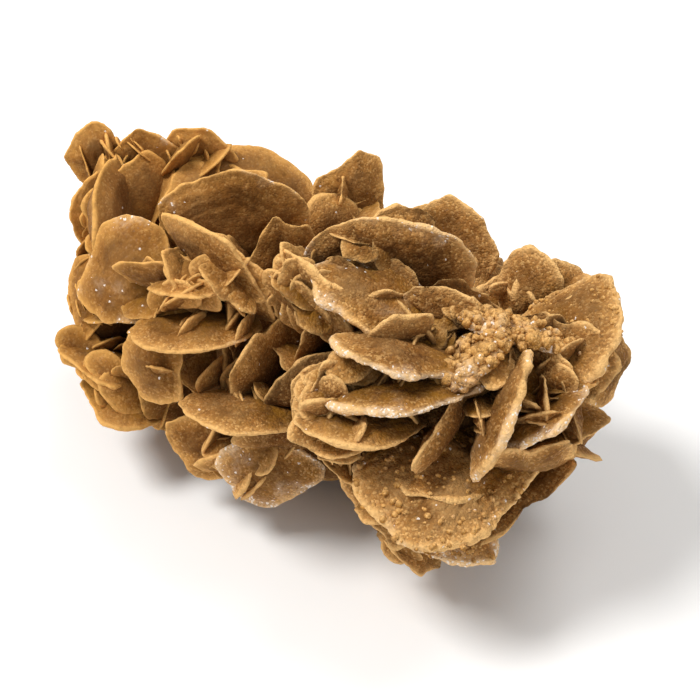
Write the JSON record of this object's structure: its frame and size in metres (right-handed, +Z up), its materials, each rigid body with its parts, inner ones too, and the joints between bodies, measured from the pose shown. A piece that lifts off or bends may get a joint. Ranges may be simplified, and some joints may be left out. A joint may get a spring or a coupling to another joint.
{
  "type": "gypsum sand rose",
  "caption": "Long cluster of sandy, lens-shaped gypsum blades grown through each other like petals, resting on the worn tips of its lowest blades.",
  "frame": {"origin": "middle of the box's lower face, on the surface that the cluster rests on", "axes": "+X along the length, towards the end with the broad wall blade; -Y is the richer side; +Z up"},
  "size_m": [0.2272, 0.1256, 0.1115],
  "materials": {
    "sandy_gypsum": "sand-filled gypsum, rough as coarse sandpaper, tan to ochre brown with paler rims",
    "dark_gypsum": "the same sandy gypsum deep between the blades, darker brown",
    "sand_crust": "knobbly crust of cemented sand, golden tan"
  },
  "bodies": {
    "root": {"back_arch": "sandy_gypsum", "back_lower_1": "sandy_gypsum", "back_lower_2": "sandy_gypsum", "back_lower_3": "sandy_gypsum", "back_lower_4": "sandy_gypsum", "back_right_end": "sandy_gypsum", "back_right_left": "sandy_gypsum", "back_right_middle": "sandy_gypsum", "back_upper_1": "sandy_gypsum", "back_upper_2": "sandy_gypsum", "back_upper_3": "sandy_gypsum", "back_upper_4": "sandy_gypsum", "bottom_lower": "sandy_gypsum", "bottom_upper": "sandy_gypsum", "cross_plate": "sandy_gypsum", "crown_arch": "sandy_gypsum", "crown_front": "sandy_gypsum", "crown_right": "sandy_gypsum", "crust_plate": "sand_crust", "fan_left": "sandy_gypsum", "fan_right": "sandy_gypsum", "far_end": "sandy_gypsum", "far_side": "sandy_gypsum", "far_tip": "sandy_gypsum", "far_top": "sandy_gypsum", "front_left_face": "sandy_gypsum", "front_low": "sandy_gypsum", "front_middle": "sandy_gypsum", "front_upper": "sandy_gypsum", "hanging_leaf": "sandy_gypsum", "hanging_left": "sandy_gypsum", "hanging_middle": "sandy_gypsum", "hanging_right": "sandy_gypsum", "heart_1": "dark_gypsum", "heart_2": "dark_gypsum", "heart_3": "dark_gypsum", "heart_4": "dark_gypsum", "heart_5": "dark_gypsum", "heart_6": "dark_gypsum", "heart_7": "dark_gypsum", "heart_8": "dark_gypsum", "left_back": "sandy_gypsum", "left_low_big": "sandy_gypsum", "left_lower_disc": "sandy_gypsum", "left_mid_lower": "sandy_gypsum", "left_mid_upper": "sandy_gypsum", "left_outer": "sandy_gypsum", "left_shelf_lower": "sandy_gypsum", "left_shelf_middle": "sandy_gypsum", "long_diagonal": "sandy_gypsum", "low_rim": "sandy_gypsum", "ridge_plate": "sand_crust", "right_low_lower": "sandy_gypsum", "right_low_upper": "sandy_gypsum", "right_side_disc": "sandy_gypsum", "right_wall": "sandy_gypsum", "stake": "sandy_gypsum", "tail_lower": "sandy_gypsum", "tail_upper": "sandy_gypsum", "top_peak": "sandy_gypsum"}
  },
  "joints": []
}
